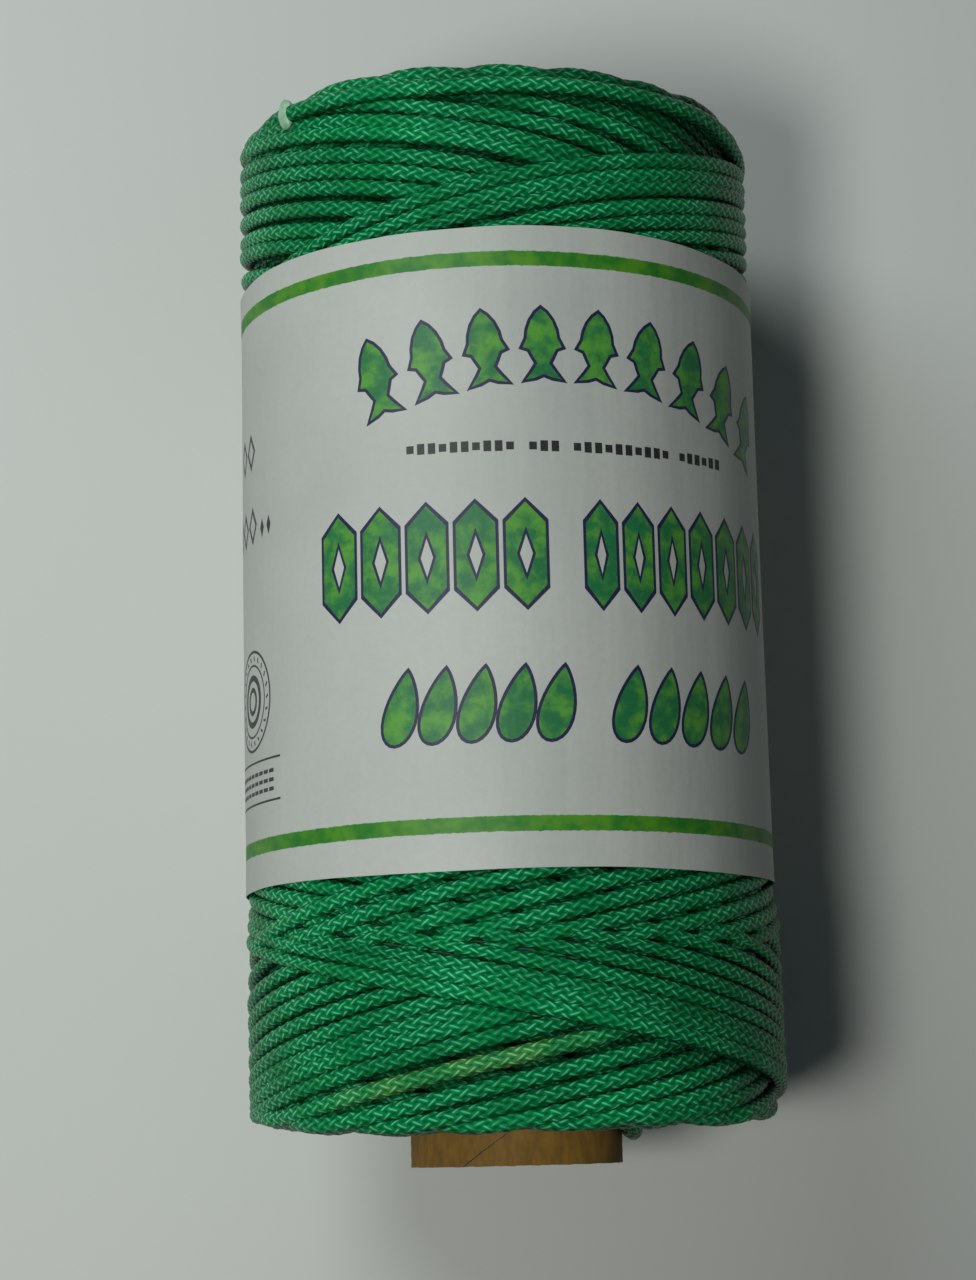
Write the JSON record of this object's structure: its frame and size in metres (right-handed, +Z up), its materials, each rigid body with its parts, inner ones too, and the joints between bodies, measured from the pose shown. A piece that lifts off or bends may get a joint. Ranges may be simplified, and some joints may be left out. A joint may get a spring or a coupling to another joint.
{
  "type": "braided twine tube",
  "caption": "Braided nylon seine twine cross-wound on a spiral paper core, with a plain printed paper label glued round the middle.",
  "frame": {"origin": "on the surface that the tube lies on, under the middle of the core", "axes": "+Y along the core, from its long overhang to the other end; +Z up; +X to the label's seam side"},
  "size_m": [0.0772, 0.158, 0.0769],
  "materials": {
    "green_nylon_twine": "semi-gloss braided nylon",
    "sealed_nylon": "melted, waxy",
    "kraft_paper": "matte",
    "grey_board": "matte, fibrous",
    "label_paper": "uncoated, printed",
    "paper_glue": "satin"
  },
  "bodies": {
    "root": {"core_liner_ply": "kraft_paper", "core_board_ply_1": "grey_board", "core_board_ply_2": "grey_board", "core_wrapper_ply": "kraft_paper", "winding_layer_1": "green_nylon_twine", "winding_layer_2": "green_nylon_twine", "winding_layer_3": "green_nylon_twine", "winding_layer_4": "green_nylon_twine", "winding_layer_5": "green_nylon_twine", "winding_layer_6": "green_nylon_twine", "winding_layer_7": "green_nylon_twine", "winding_layer_8": "green_nylon_twine", "winding_layer_9": "green_nylon_twine", "inner_start_bend": "green_nylon_twine", "sealed_tail_end": "sealed_nylon", "paper_label": "label_paper", "label_glue_strip": "paper_glue"}
  },
  "joints": []
}
